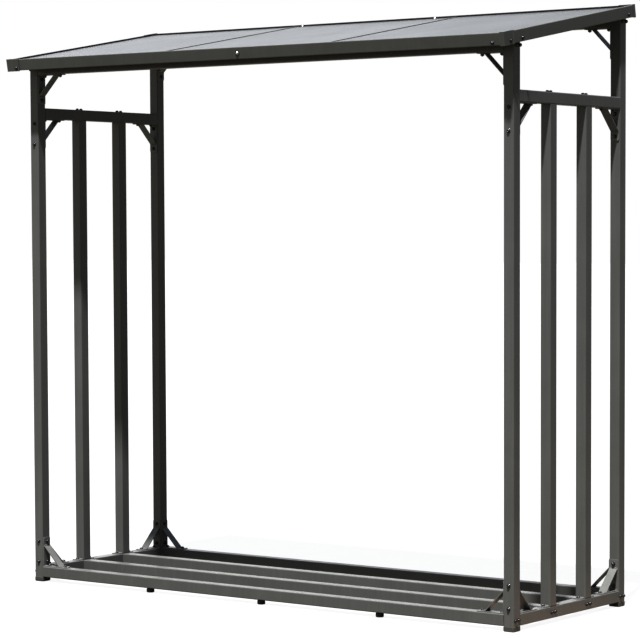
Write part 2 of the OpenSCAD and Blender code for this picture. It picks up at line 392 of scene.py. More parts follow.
def add_foot(bm, radius, height, place):
    """One foot: a ribbed pad with a rounded lower edge, under a plain neck."""
    sides = 4 * FOOT_RIBS
    pad_top = height - FOOT_NECK_HEIGHT
    rings = []
    for step in range(6):
        angle = math.radians(90) * step / 5
        r = radius - FOOT_EDGE + FOOT_EDGE * math.sin(angle)
        rings.append(turned_ring(r, FOOT_EDGE - FOOT_EDGE * math.cos(angle), sides))
    for z in (FOOT_EDGE + FOOT_RIBS_ABOVE_EDGE, pad_top - FOOT_RIM):
        rings.append(turned_ring(radius, z, sides, FOOT_RIBS, FOOT_RIB_DEPTH))
    neck = radius * FOOT_NECK_SHARE
    for r, z in ((radius - FOOT_RIM, pad_top), (neck, pad_top), (neck, height)):
        rings.append(turned_ring(r, z, sides))
    loft(bm, rings, place)


foot_plastic = moulded_plastic("foot plastic", FOOT_PLASTIC, 0.42)
for node_name in ("adjustable_feet_front", "adjustable_feet_back"):
    low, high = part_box(node_name)
    foot_radius = (high.y - low.y) / 2
    run = (high.x - low.x) / 2 - foot_radius
    bm = bmesh.new()
    for share in (-1, 0, 1):
        place = Matrix.Translation(((low.x + high.x) / 2 + share * run, (low.y + high.y) / 2, 0))
        add_foot(bm, foot_radius, high.z, place)
    make_piece(node_name.replace("adjustable", "levelling"), bm, foot_plastic,
               [node_name])


# ---- Slats ----
# Two more long tubes lie between the end rails, level with them, and carry the logs. They are
# the same steel tube in the same coat, and bolts through the end rails hold their ends.
for slat in ("slat_front", "slat_back"):
    paint_node(slat, tube_finish)


# ---- Tube-end bolts ----
# Each long tube is drawn up against the post or end rail at both ends by two M6 bolts, side by
# side. They are blackened steel with a domed socket head, on a washer.
BOLT_BLACK = (0.030, 0.030, 0.033)
BOLT_BARE = (0.22, 0.21, 0.20)
HEAD_RADIUS = 5.3 * MM
WASHER_RADIUS = 6.5 * MM
WASHER_THICK = 1.0 * MM
HEAD_BASE = 1.2 * MM
HEAD_DOME = 3.9 * MM
HEAD_EASE = 0.3 * MM
WASHER_EASE = 0.25 * MM
SOCKET_ACROSS = 4 * MM
SOCKET_MOUTH = 2.45 * MM
SOCKET_DEPTH = 2 * MM
BOLT_PAIR = 9 * MM
LONG_HEAD = 3.5 * MM
NUT_CHAMFER = 0.47
NUT_SIDES = 36


def blackened_steel(name, colour, bare):
    """Blackened steel, rubbed back towards bare metal on its edges."""
    material, shader, tree, skin = start_finish(name, grain=900.0, patches=90.0)
    worn = place_effect(tree, edge_wear, {"Reach": 0.8 * MM, "Spots Per Metre": 300.0})
    patchy = patched(tree, skin, colour, darkest=0.7, palest=1.4)
    rubbed = mixed(tree, worn["Mask"], patchy, bare)
    level = patched_level(tree, skin, least=0.16, more=0.2)
    end_finish(shader, tree, skin, rubbed, level, bump=0.2, height=0.04 * MM)
    shader.inputs["Metallic"].default_value = 0.55
    return material


def facing(point, outward):
    """A place on a surface whose own z axis points along outward."""
    turn = Vector((0, 0, 1)).rotation_difference(Vector(outward)).to_matrix().to_4x4()
    return Matrix.Translation(point) @ turn


def add_washer(bm, place):
    """A flat washer with an eased rim."""
    rings = [(WASHER_RADIUS, 0), (WASHER_RADIUS, WASHER_THICK - WASHER_EASE),
             (WASHER_RADIUS - WASHER_EASE, WASHER_THICK), (HEAD_RADIUS * 0.6, WASHER_THICK)]
    loft(bm, [turned_ring(r, z) for r, z in rings], place)


def hex_ring(across, height, top=None, sides=NUT_SIDES):
    """A ring of a hexagon; where top is given, it is cut down to the nut's chamfer."""
    points = []
    for step in range(sides):
        angle = math.tau * step / sides
        to_flat = (angle + math.radians(30)) % math.radians(60) - math.radians(30)
        r = across / 2 / math.cos(to_flat)
        z = height
        if top is not None:
            z = top - (r - NUT_CHAMFER * across) * math.tan(math.radians(30))
        points.append((r * math.cos(angle), r * math.sin(angle), z))
    return points


def add_domed_bolt(bm, place, extra=0.0):
    """A washer and a domed head with a hexagon socket; extra makes its straight part longer."""
    add_washer(bm, place)
    base = WASHER_THICK + HEAD_BASE + extra
    rings = [turned_ring(HEAD_RADIUS - HEAD_EASE, WASHER_THICK),
             turned_ring(HEAD_RADIUS, WASHER_THICK + HEAD_EASE)]
    crown = math.acos(SOCKET_MOUTH / HEAD_RADIUS)
    for step in range(8):
        angle = crown * step / 7
        height = base + HEAD_DOME * math.sin(angle)
        rings.append(turned_ring(HEAD_RADIUS * math.cos(angle), height))
    top = base + HEAD_DOME * math.sin(crown)
    for depth in (HEAD_EASE, SOCKET_DEPTH):
        rings.append(hex_ring(SOCKET_ACROSS, top - depth, sides=24))
    loft(bm, rings, place)


bolt_finish = blackened_steel("blackened bolts", BOLT_BLACK, BOLT_BARE)
bm = bmesh.new()
for tube_name in ("front_rail", "back_rail", "slat_front", "slat_back", "header_front",
                  "header_back"):
    low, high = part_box(tube_name)
    # The post or end rail that a tube butts against is as wide as the tube is high.
    reach = high.x + (high.z - low.z)
    extra = LONG_HEAD if tube_name.startswith("header") else 0.0
    for side in (-1, 1):
        for step in (-1, 1):
            point = (side * reach, (low.y + high.y) / 2 + step * BOLT_PAIR, (low.z + high.z) / 2)
            add_domed_bolt(bm, facing(point, (side, 0, 0)), extra)
make_piece("bolts_tube_ends", bm, bolt_finish)


# ---- Side bars on flange plates ----
# Two upright lengths of the same tube close each end, in line with the slats. A flat plate is
# welded under each, coated with it, and bolted to the end rail in front of and behind it.
# The bracket coat is the tubes' own powder coat painted about a quarter lighter. This is painted
# light: it stands in for sun and sky on the brackets' up-turned faces.
BRACKET_COAT_PAINTED_LIGHTER = (0.072, 0.075, 0.074)
BRACKET_COAT_THIN = (0.11, 0.113, 0.11)
PLATE_ROUND = 4 * MM
PLATE_BOLT = 29.5 * MM
WELD_RADIUS = 1.7 * MM
WELD_PITCH = 1.9 * MM
WELD_VALLEY = 0.82
WELD_TIP = 0.55
WELD_STEPS = 3
EDGE_EASE = 0.4 * MM
SHARP_TURN = math.radians(35)


def bar_stations(line, width, round_off):
    """Adds stations near both ends of a flat bar's line, narrowing it there to round it."""
    steps = 5
    stations = []
    for k in range(steps + 1):
        angle = math.radians(90) * k / steps
        stations.append((round_off * (1 - math.cos(angle)),
                         width / 2 - round_off + round_off * math.sin(angle)))
    (start, start_out), (after, _) = line[0], line[1]
    (end, end_out), (before, _) = line[-1], line[-2]
    ahead = (Vector(after) - Vector(start)).normalized()
    back = (Vector(before) - Vector(end)).normalized()
    made = [(Vector(start) + ahead * s, start_out, half) for s, half in stations]
    made += [(Vector(point), out, width / 2) for point, out in line[1:-1]]
    made += [(Vector(end) + back * s, end_out, half) for s, half in reversed(stations)]
    return made


def add_flat_bar(bm, line, across, width, thickness, round_off, place=Matrix.Identity(4)):
    """Flat bar along a line of (point, outward) pairs, its thickness growing outward."""
    rings = []
    for point, out, half in bar_stations(line, width, round_off):
        side, rise = Vector(across) * half, Vector(out) * thickness
        rings.append([point - side, point + side, point + side + rise, point - side + rise])
    loft(bm, rings, place)


def ease_edges(bm, width=EDGE_EASE):
    """Rounds the sharp edges that are in the mesh so far."""
    bmesh.ops.recalc_face_normals(bm, faces=bm.faces[:])
    sharp = [e for e in bm.edges if len(e.link_faces) == 2
             and e.calc_face_angle(0) > SHARP_TURN]
    bmesh.ops.bevel(bm, geom=sharp, offset=width, segments=2, profile=0.5, affect="EDGES",
                    clamp_overlap=True)


def add_weld(bm, start, end, place=Matrix.Identity(4)):
    """A weld bead with the ripples of its run."""
    start, end = Vector(start), Vector(end)
    run = end - start
    turn = Vector((0, 0, 1)).rotation_difference(run).to_matrix().to_4x4()
    count = max(3, round(run.length / WELD_PITCH)) * WELD_STEPS
    rings = []
    for step in range(count + 1):
        bulge = abs(math.sin(math.pi * step / WELD_STEPS))
        swell = WELD_VALLEY + (1 - WELD_VALLEY) * bulge
        taper = WELD_TIP if step in (0, count) else 1.0
        height = run.length * step / count
        rings.append(turned_ring(WELD_RADIUS * swell * taper, height, sides=10))
    loft(bm, rings, place @ Matrix.Translation(start) @ turn)


# This finish carries the painted lighter coat. The brackets, flange plates and spacer sleeves all
# take it.
bracket_finish_painted_lighter = powder_coat("bracket powder coat painted lighter", BRACKET_COAT_PAINTED_LIGHTER, BRACKET_COAT_THIN,
                             rough=0.36, dust=0.4, patches=20.0, streaks=0.1)
plate_bolts = bmesh.new()
for end_name in ("left", "right"):
    bm = bmesh.new()
    welds = []
    plate_low, plate_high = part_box(f"flange_plates_{end_name}")
    width = plate_high.x - plate_low.x
    front_low, front_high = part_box(f"bar_{end_name}_front")
    reach = (front_low.y + front_high.y) / 2 - plate_low.y
    for row in ("front", "back"):
        bar_name = f"bar_{end_name}_{row}"
        paint_node(bar_name, tube_finish)
        low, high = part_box(bar_name)
        x = (low.x + high.x) / 2
        y = (low.y + high.y) / 2
        half = (high.y - low.y) / 2
        line = [((x, y + step * reach, plate_low.z), (0, 0, 1)) for step in (-1, 1)]
        add_flat_bar(bm, line, (1, 0, 0), width, plate_high.z - plate_low.z, PLATE_ROUND)
        for step in (-1, 1):
            weld_y = y + step * (half + 0.4 * WELD_RADIUS)
            weld_z = plate_high.z + 0.3 * WELD_RADIUS
            inset = width / 2 - WELD_RADIUS
            welds.append(((x - inset, weld_y, weld_z), (x + inset, weld_y, weld_z)))
            point = (x, y + step * PLATE_BOLT, plate_high.z)
            add_domed_bolt(plate_bolts, facing(point, (0, 0, 1)))
    ease_edges(bm)
    for start, end in welds:
        add_weld(bm, start, end)
    make_piece(f"bar_plates_{end_name}", bm, bracket_finish_painted_lighter,
               [f"flange_plates_{end_name}"])


# ---- Mid rails ----
# A short rail of the same tube caps the bars at each end and butts between the posts. Two
# bolts go down through it into a threaded insert in the top of each bar.
for end_name in ("left", "right"):
    paint_node(f"mid_rail_{end_name}", tube_finish)
    mid_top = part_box(f"mid_rail_{end_name}")[1].z
    for row in ("front", "back"):
        low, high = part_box(f"bar_{end_name}_{row}")
        for step in (-1, 1):
            point = ((low.x + high.x) / 2, (low.y + high.y) / 2 + step * BOLT_PAIR, mid_top)
            add_domed_bolt(plate_bolts, facing(point, (0, 0, 1)))
make_piece("bolts_side_bars", plate_bolts, bolt_finish)


# ---- Headers ----
# The same tube ties the tops of the posts together at the front and the back. It butts
# between them, just under the roof frame, and bolts through the posts hold its ends.
for header in ("header_front", "header_back"):
    paint_node(header, tube_finish)


# ---- Corner brackets ----
# Flat bar is bent to a right angle and a strut is welded across it, and two bolts hold each
# leg. The nuts are on the posts for brackets in line with the ends, and under the headers.
BRACKET_LEG = 97 * MM
BRACKET_WIDTH = 30 * MM
BRACKET_THICK = 3 * MM
BRACKET_BEND = 4.5 * MM
BRACKET_ROUND = 5 * MM
STRUT_REACH = 70 * MM
STRUT_WIDTH = 27 * MM
LEG_BOLTS = (16 * MM, 84 * MM)
NUT_ACROSS = 10 * MM
NUT_HEIGHT = 5 * MM
NUT_EASE = 0.3 * MM
THREAD_RADIUS = 3 * MM
THREAD_DEPTH = 0.35 * MM
THREAD_END = 2.5 * MM
THREAD_TURNS = 5
THREAD_SUNK = 0.5 * MM


def bent_line(leg, r, steps):
    """A flat bar's line with a right-angled bend of radius r: legs along x and z."""
    line = [((leg, 0, 0), (0, 0, 1)), ((r, 0, 0), (0, 0, 1))]
    for step in range(1, steps):
        angle = math.radians(90) * step / steps
        out = (math.sin(angle), 0, math.cos(angle))
        line.append(((r - r * math.sin(angle), 0, r - r * math.cos(angle)), out))
    return line + [((0, 0, r), (1, 0, 0)), ((0, 0, leg), (1, 0, 0))]


def add_bracket_bars(bm, place):
    """The bent bar and its strut, in the bracket's own plane."""
    line = bent_line(BRACKET_LEG, BRACKET_BEND, steps=6)
    add_flat_bar(bm, line, (0, 1, 0), BRACKET_WIDTH, BRACKET_THICK, BRACKET_ROUND, place)
    half = BRACKET_THICK / math.sqrt(2)
    foot = BRACKET_THICK / 2
    outline = [(STRUT_REACH - half, foot), (STRUT_REACH + half, foot),
               (foot, STRUT_REACH + half), (foot, STRUT_REACH - half)]
    rings = [[(x, y, z) for x, z in outline] for y in (-STRUT_WIDTH / 2, STRUT_WIDTH / 2)]
    loft(bm, rings, place)


def add_bracket_welds(bm, place):
    """Beads on both sides of each end of the strut."""
    half = BRACKET_THICK / math.sqrt(2)
    side = STRUT_WIDTH / 2 - WELD_RADIUS
    top = BRACKET_THICK + 0.25 * WELD_RADIUS
    meets = STRUT_REACH - BRACKET_THICK / 2
    for along in (meets - half - 0.5 * WELD_RADIUS, meets + half + 0.15 * WELD_RADIUS):
        add_weld(bm, (along, -side, top), (along, side, top), place)
        add_weld(bm, (top, -side, along), (top, side, along), place)


def add_nut(bm, place):
    """A washer, a chamfered nut and the end of the bolt's thread."""
    add_washer(bm, place)
    low, high = WASHER_THICK, WASHER_THICK + NUT_HEIGHT
    face = NUT_CHAMFER * NUT_ACROSS
    loft(bm, [turned_ring(face, low, NUT_SIDES), hex_ring(NUT_ACROSS, low + NUT_EASE),
              hex_ring(NUT_ACROSS, 0, high), turned_ring(face, high, NUT_SIDES),
              turned_ring(THREAD_RADIUS, high - NUT_EASE, NUT_SIDES)], place)
    steps = 2 * THREAD_TURNS
    rings = []
    for step in range(steps + 1):
        r = THREAD_RADIUS - (THREAD_DEPTH if step % 2 else 0)
        r -= THREAD_SUNK if step == steps else 0
        rings.append(turned_ring(r, high - THREAD_SUNK + THREAD_END * step / steps))
    loft(bm, rings, place)


def bracket_place(corner, along, up):
    """Turns a bracket's own axes to a corner: one leg along a direction, the other up."""
    along, up = Vector(along), Vector(up)
    across = up.cross(along)
    place = Matrix((along, across, up)).transposed().to_4x4()
    place.translation = corner
    return place


def add_leg_bolts(bolts, place, on_level, on_upright):
    """What shows on the level leg and on the upright leg: bolt heads, or nuts."""
    for reach in LEG_BOLTS:
        on_level(bolts, place @ facing((reach, 0, BRACKET_THICK), (0, 0, 1)))
        on_upright(bolts, place @ facing((BRACKET_THICK, 0, reach), (1, 0, 0)))


def bracket_in_front_plane(places, bolts, post_name, height, up):
    """A bracket between a post and a long tube; under a header, the bolts end in nuts."""
    low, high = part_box(post_name)
    side = -1 if low.x < 0 else 1
    corner = (high.x if side < 0 else low.x, (low.y + high.y) / 2, height)
    place = bracket_place(corner, (-side, 0, 0), (0, 0, up))
    places.append(place)
    add_leg_bolts(bolts, place, add_domed_bolt if up > 0 else add_nut, add_domed_bolt)


def bracket_in_end_plane(places, bolts, post_name, height, up):
    """A bracket between a post and an end tube, bolted right through the post."""
    low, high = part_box(post_name)
    along = 1 if low.y < 0 else -1
    x = (low.x + high.x) / 2
    place = bracket_place((x, high.y if along > 0 else low.y, height), (0, along, 0), (0, 0, up))
    places.append(place)
    add_leg_bolts(bolts, place, add_domed_bolt, add_nut)
    outside = low.y if along > 0 else high.y
    for reach in LEG_BOLTS:
        add_domed_bolt(bolts, facing((x, outside, height + up * reach), (0, -along, 0)))


def make_brackets(name, node_name, places):
    """One piece with all the brackets of a CAD node."""
    bm = bmesh.new()
    for place in places:
        add_bracket_bars(bm, place)
    ease_edges(bm)
    for place in places:
        add_bracket_welds(bm, place)
    make_piece(name, bm, bracket_finish_painted_lighter, [node_name])


base_bolts = bmesh.new()
rail_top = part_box("front_rail")[1].z
for row in ("front", "back"):
    for end_name in ("left", "right"):
        places = []
        post = f"post_{row}_{end_name}"
        bracket_in_front_plane(places, base_bolts, post, rail_top, 1)
        bracket_in_end_plane(places, base_bolts, post, rail_top, 1)
        node_name = f"brackets_base_{row}_{end_name}"
        make_brackets(f"base_brackets_{row}_{end_name}", node_name, places)
make_piece("bolts_base_brackets", base_bolts, bolt_finish)

upper_bolts = bmesh.new()
for end_name in ("left", "right"):
    places = []
    mid_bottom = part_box(f"mid_rail_{end_name}")[0].z
    for row in ("front", "back"):
        bracket_in_end_plane(places, upper_bolts, f"post_{row}_{end_name}", mid_bottom, -1)
    make_brackets(f"mid_brackets_{end_name}", f"brackets_mid_{end_name}", places)
for row in ("front", "back"):
    places = []
    header_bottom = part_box(f"header_{row}")[0].z
    for end_name in ("left", "right"):
        bracket_in_front_plane(places, upper_bolts, f"post_{row}_{end_name}", header_bottom, -1)
    make_brackets(f"header_brackets_{row}", f"brackets_header_{row}", places)
make_piece("bolts_upper_brackets", upper_bolts, bolt_finish)


# ---- Roof frame ----
# Four lengths of folded steel sheet, mitred at the corners, each with a lip along the top, a
# ledge for the roof sheets and a flange below. Angles inside the corners join them.
FRAME_COAT = (0.050, 0.052, 0.050)
FRAME_COAT_THIN = (0.10, 0.105, 0.10)
ROOF_SLOPE = math.radians(9.9)
FRAME_DEPTH = 36.5 * MM
FRAME_THICK = 1.5 * MM
FRAME_FOLD = 2.2 * MM
LIP_WIDTH = 8 * MM
LEDGE_WIDTH = 12 * MM
SHEET_DROP = 5 * MM
SHEET_THICK = 0.8 * MM
MITRE_GAP = 0.15 * MM
ANGLE_LEG = 62 * MM
ANGLE_WIDTH = 20 * MM
ANGLE_THICK = 2 * MM
ANGLE_BEND = 3 * MM
ANGLE_EASE = 0.25 * MM

front_low, front_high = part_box("roof_frame_front")
back_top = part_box("roof_frame_back")[1].z
roof_half = front_high.x
roof_origin = Vector((0, front_low.y, front_high.z - LIP_WIDTH * math.sin(ROOF_SLOPE)))
on_roof = Matrix.Translation(roof_origin) @ Matrix.Rotation(ROOF_SLOPE, 4, "X")
roof_length = (back_top - roof_origin.z) / math.sin(ROOF_SLOPE)
ledge_top = -SHEET_DROP - SHEET_THICK
roof_finish = powder_coat("roof frame powder coat", FRAME_COAT, FRAME_COAT_THIN,
                          rough=0.38, dust=0.3, patches=4.0, streaks=0.2, gloss=0.35)


def fold(centre, radius, start, steps=5):
    """Points on a quarter turn from an angle in degrees; clockwise if steps is negative."""
    sign = 1 if steps > 0 else -1
    points = []
    for step in range(abs(steps) + 1):
        angle = math.radians(start + sign * 90 * step / abs(steps))
        x = centre[0] + radius * math.cos(angle)
        points.append((x, centre[1] + radius * math.sin(angle)))
    return points


def frame_section(flange):
    """The folded section: x runs inward from the outer face, and y is 0 at the top."""
    t, r, d = FRAME_THICK, FRAME_FOLD, FRAME_DEPTH
    inner = r - t
    ledge_bottom = ledge_top - t
    section = [(t + flange, -d)]
    section += fold((r, -d + r), r, 270, -5)
    section += fold((r, -r), r, 180, -5)
    section += [(LIP_WIDTH, 0), (LIP_WIDTH, -t)]
    section += fold((r, -r), inner, 90)
    section += [(t, ledge_top), (t + LEDGE_WIDTH, ledge_top), (t + LEDGE_WIDTH, ledge_bottom),
                (t, ledge_bottom)]
    section += fold((r, -d + r), inner, 180)
    section += [(t + flange, -d + t)]
    return section


def make_frame_side(name, node_name, start, along, inward, run, flange):
    """One mitred side of the roof frame, in the roof's own frame."""
    start, along, inward = Vector(start), Vector(along), Vector(inward)
    section = frame_section(flange)
    rings = []
    for end in (0, 1):
        ring = []
        for x, z in section:
            cut = x + MITRE_GAP
            reach = cut if end == 0 else run - cut
            ring.append(start + along * reach + inward * x + Vector((0, 0, z)))
        rings.append(ring)
    bm = bmesh.new()
    loft(bm, rings, on_roof)
    make_piece(name, bm, roof_finish, [node_name], sharp=30)


side_low, side_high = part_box("roof_frame_left")
side_flange = side_high.x - side_low.x - FRAME_THICK
make_frame_side("roof_edge_front", "roof_frame_front", (-roof_half, 0, 0), (1, 0, 0),
                (0, 1, 0), 2 * roof_half, LEDGE_WIDTH)
make_frame_side("roof_edge_back", "roof_frame_back", (roof_half, roof_length, 0), (-1, 0, 0),
                (0, -1, 0), 2 * roof_half, LEDGE_WIDTH)
make_frame_side("roof_edge_left", "roof_frame_left", (-roof_half, roof_length, 0), (0, -1, 0),
                (1, 0, 0), roof_length, side_flange)
make_frame_side("roof_edge_right", "roof_frame_right", (roof_half, 0, 0), (0, 1, 0),
                (-1, 0, 0), roof_length, side_flange)

bm = bmesh.new()
line = bent_line(ANGLE_LEG, ANGLE_BEND, steps=5)
middle_z = (ledge_top - FRAME_DEPTH) / 2
for x_sign in (-1, 1):
    for y, y_sign in ((FRAME_THICK, 1), (roof_length - FRAME_THICK, -1)):
        axes = Matrix(((-x_sign, 0, 0), (0, 0, 1), (0, y_sign, 0))).transposed().to_4x4()
        axes.translation = (x_sign * (roof_half - FRAME_THICK), y, middle_z)
        add_flat_bar(bm, line, (0, 1, 0), ANGLE_WIDTH, ANGLE_THICK, ANGLE_BEND, on_roof @ axes)
ease_edges(bm, ANGLE_EASE)
make_piece("roof_corner_angles", bm, roof_finish)


# ---- Roof corner covers ----
# A folded cover closes each corner of the roof frame, with a long leg on one side and a short
# leg round the corner. It is the frame's own steel and coat, and the frame bolts hold it.
COVER_LONG = 53 * MM
COVER_SHORT = 13 * MM
COVER_THICK = 1.5 * MM
COVER_BEND = 3 * MM
COVER_ABOVE = 1.5 * MM
COVER_BELOW = 2 * MM
COVER_HEM = 5 * MM
COVER_HEM_SLOPE = 1.5 * MM
COVER_EASE = 0.3 * MM
COVER_PLACES = (((-1, 0), (1, 0)), ((1, 0), (0, 1)), ((1, 1), (-1, 0)), ((-1, 1), (0, -1)))


def cover_outline(inner):
    """The cover's two legs from above, the long one hemmed; inner is how far they reach in."""
    t, r = COVER_THICK, COVER_BEND
    outline = [(COVER_LONG, inner), (COVER_LONG, -2 * t), (COVER_LONG - COVER_HEM, -2 * t),
               (COVER_LONG - COVER_HEM - COVER_HEM_SLOPE, -t)]
    for step in range(6):
        angle = math.radians(90) * step / 5
        outline.append((r - t - r * math.sin(angle), r - t - r * math.cos(angle)))
    return outline + [(-t, COVER_SHORT), (inner, COVER_SHORT), (inner, inner)]


bm = bmesh.new()
for corner, along in COVER_PLACES:
    turn = Matrix.Rotation(math.atan2(along[1], along[0]), 4, "Z")
    seat = Matrix.Translation((corner[0] * roof_half, corner[1] * roof_length, 0)) @ turn
    for inner, low_z, high_z in ((0, -FRAME_DEPTH - COVER_BELOW, COVER_ABOVE),
                                 (LIP_WIDTH, COVER_ABOVE - COVER_THICK, COVER_ABOVE)):
        rings = [[(x, y, z) for x, y in cover_outline(inner)] for z in (low_z, high_z)]
        loft(bm, rings, on_roof @ seat)
ease_edges(bm, COVER_EASE)
make_piece("roof_corner_covers", bm, roof_finish)


# ---- Roof frame bolts ----
# Domed bolts go through the frame into the corner angles and, over spacer sleeves, into the
# posts. One bright zinc-plated bolt on a wide black washer is at the middle of the front and
# of the back.
MIDDLE_BOLT_DROP = 17.5 * MM
CORNER_BOLT_DROP = 28 * MM
END_BOLT_DROP = 26.5 * MM
CORNER_BOLT_INSET = 40 * MM
CORNER_BOLT_REACH = 33 * MM
POST_BOLT_FORWARD = 7 * MM
SLEEVE_RADIUS = 5 * MM
BRIGHT_ZINC = (0.62, 0.63, 0.65)
WIDE_WASHER = 1.25
MIDDLE_HEAD = 0.82


def zinc_plate(name, colour):
    """Bright zinc plate with the soft spangle of its bath."""
    material, shader, tree, skin = start_finish(name, grain=1200.0, patches=200.0)
    patchy = patched(tree, skin, colour, darkest=0.8, palest=1.2)
    level = patched_level(tree, skin, least=0.2, more=0.2)
    end_finish(shader, tree, skin, patchy, level, bump=0.2, height=0.04 * MM)
    shader.inputs["Metallic"].default_value = 1.0
    return material


frame_bolts = bmesh.new()
middle_bolts = bmesh.new()
for x in (-roof_half + CORNER_BOLT_INSET, 0, roof_half - CORNER_BOLT_INSET):
    for y, y_sign in ((0, -1), (roof_length, 1)):
        proud = COVER_THICK if x * y_sign > 0 else 0
        drop = CORNER_BOLT_DROP if x else MIDDLE_BOLT_DROP
        seat = on_roof @ facing((x, y + y_sign * proud, -drop), (0, y_sign, 0))
        if x:
            add_domed_bolt(frame_bolts, seat)
        else:
            add_washer(frame_bolts, seat @ Matrix.Diagonal((WIDE_WASHER, WIDE_WASHER, 1, 1)))
            seat = seat @ Matrix.Translation((0, 0, 0.5 * WASHER_THICK))
            add_domed_bolt(middle_bolts, seat @ Matrix.Scale(MIDDLE_HEAD, 4))
        depth = FRAME_THICK + (ANGLE_THICK if x else 0)
        inside = (x, y - y_sign * depth, -drop)
        add_nut(frame_bolts, on_roof @ facing(inside, (0, -y_sign, 0)))

sleeves = bmesh.new()
for side, end_name in ((-1, "left"), (1, "right")):
    proud = COVER_THICK if side > 0 else 0
    seat = (side * (roof_half + proud), CORNER_BOLT_REACH, -END_BOLT_DROP)
    add_domed_bolt(frame_bolts, on_roof @ facing(seat, (side, 0, 0)))
    inside = (side * (roof_half - FRAME_THICK - ANGLE_THICK), CORNER_BOLT_REACH, -END_BOLT_DROP)
    add_nut(frame_bolts, on_roof @ facing(inside, (-side, 0, 0)))
    for row in ("front", "back"):
        low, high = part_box(f"post_{row}_{end_name}")
        behind_edge = (low.y + high.y) / 2 - POST_BOLT_FORWARD - roof_origin.y
        up_slope = behind_edge / math.cos(ROOF_SLOPE)
        proud = COVER_THICK if side < 0 and row == "back" else 0
        seat = (side * (roof_half + proud), up_slope, -END_BOLT_DROP)
        add_domed_bolt(frame_bolts, on_roof @ facing(seat, (side, 0, 0)))
        gap = roof_half - FRAME_THICK - max(abs(low.x), abs(high.x))
        inside = (side * (roof_half - FRAME_THICK), up_slope, -END_BOLT_DROP)
        place = on_roof @ facing(inside, (-side, 0, 0))
        loft(sleeves, [turned_ring(SLEEVE_RADIUS, z) for z in (0, gap)], place)
make_piece("bolts_roof_frame", frame_bolts, bolt_finish)
zinc = zinc_plate("bright zinc plate", BRIGHT_ZINC)
make_piece("bolts_roof_middle", middle_bolts, zinc)
make_piece("roof_spacer_sleeves", sleeves, bracket_finish_painted_lighter)


# ---- Rafters and seam strips ----
# Two shallow box rafters of folded steel run up the slope under the joints between the roof
# sheets, and a strip with a low rib lies on each to cover the joint from below. All are
# coated like the roof frame.
for node_name in ("rafter_left", "rafter_right", "seam_strip_left", "seam_strip_right"):
    paint_node(node_name, roof_finish)


# ---- Roof sheets ----
# Three thin steel sheets lie on the ledge inside the frame, coated like it. They were cut and
# coated flat, and sag and ripple a little between their edges. A sheet's edge at a joint with
# the next has a raised hem, turned down into the joint, so that rain doesn't run across it.
SHEET_COAT = (0.045, 0.047, 0.050)
SHEET_COAT_THIN = (0.09, 0.09, 0.09)
SHEET_RIPPLE = 0.35 * MM
SHEET_SAG = 0.8 * MM
SHEET_CLEARANCE = 0.5 * MM
SHEET_GAP = 5 * MM
SHEET_COUNT = 3
HEM_WIDTH = 11 * MM
HEM_RAMP = 2.5 * MM
HEM_RISE = 1.8 * MM
HEM_CURVE = ((0.3, 0.15), (0.7, 0.85), (1, 1))
HEM_FOLD = 1.0 * MM
HEM_LIP = 2.2 * MM
ACROSS_CELLS = 44
ALONG_CELLS = 52
WAVE_COUNT = 7
HELD_MARGIN = 4

sheet_finish = powder_coat("roof sheet powder coat", SHEET_COAT, SHEET_COAT_THIN,
                           rough=0.34, dust=0.06, patches=2.5, streaks=0.0, gloss=0.22)
ripples = random.Random(7)


def hem_profile(right):
    """Across positions and heights of a raised, turned-down hem that ends at a joint."""
    start = right - HEM_WIDTH
    points = [(start + over * HEM_RAMP, up * HEM_RISE) for over, up in HEM_CURVE]
    for step in range(5):
        angle = math.radians(90) * step / 4
        x = right - HEM_FOLD + HEM_FOLD * math.sin(angle)
        points.append((x, HEM_RISE - HEM_FOLD + HEM_FOLD * math.cos(angle)))
    points.append((right, HEM_RISE - HEM_LIP))
    return points


def make_sheet(name, node_name, left, right, hemmed):
    """One sheet between two x positions, rippled away from its edges."""
    edge = FRAME_THICK + SHEET_CLEARANCE
    bottom, top = edge, roof_length - edge
    waves = [(ripples.uniform(2, 7), ripples.uniform(2, 8), ripples.uniform(0, math.tau),
              ripples.uniform(0.3, 1.0)) for _ in range(WAVE_COUNT)]
    bm = bmesh.new()
    rows = []
    flat_right = right - HEM_WIDTH if hemmed else right
    for j in range(ALONG_CELLS + 1):
        v = j / ALONG_CELLS
        row = []
        for i in range(ACROSS_CELLS + 1):
            u = i / ACROSS_CELLS
            free = min(1.0, HELD_MARGIN * math.sin(math.pi * u) * math.sin(math.pi * v))
            ripple = sum(w * math.sin(a * math.pi * u + b * v + c) for a, b, c, w in waves)
            z = free * (SHEET_RIPPLE * ripple / 2 - SHEET_SAG * math.sin(math.pi * u))
            x = left + (flat_right - left) * u
            row.append((x, z))
        if hemmed:
            row += hem_profile(right)
        y = bottom + (top - bottom) * v
        seats = [on_roof @ Vector((x, y, ledge_top + SHEET_THICK + z)) for x, z in row]
        row = [bm.verts.new(seat) for seat in seats]
        rows.append(row)
    for low, high in zip(rows, rows[1:]):
        for i in range(len(low) - 1):
            bm.faces.new((low[i], low[i + 1], high[i + 1], high[i]))
    piece = make_piece(name, bm, sheet_finish, [node_name])
    plate = piece.modifiers.new("sheet thickness", "SOLIDIFY")
    plate.thickness = SHEET_THICK
    plate.offset = -1


sheet_pitch = 2 * roof_half / SHEET_COUNT
for number, sheet_name in enumerate(("left", "middle", "right")):
    left = -roof_half + number * sheet_pitch + SHEET_GAP / 2
    right = -roof_half + (number + 1) * sheet_pitch - SHEET_GAP / 2
    if number == 0:
        left = -roof_half + FRAME_THICK + SHEET_CLEARANCE
    if number == SHEET_COUNT - 1:
        right = roof_half - FRAME_THICK - SHEET_CLEARANCE
    make_sheet("sheet_" + sheet_name, "roof_sheet_" + sheet_name, left, right,
               hemmed=number < SHEET_COUNT - 1)


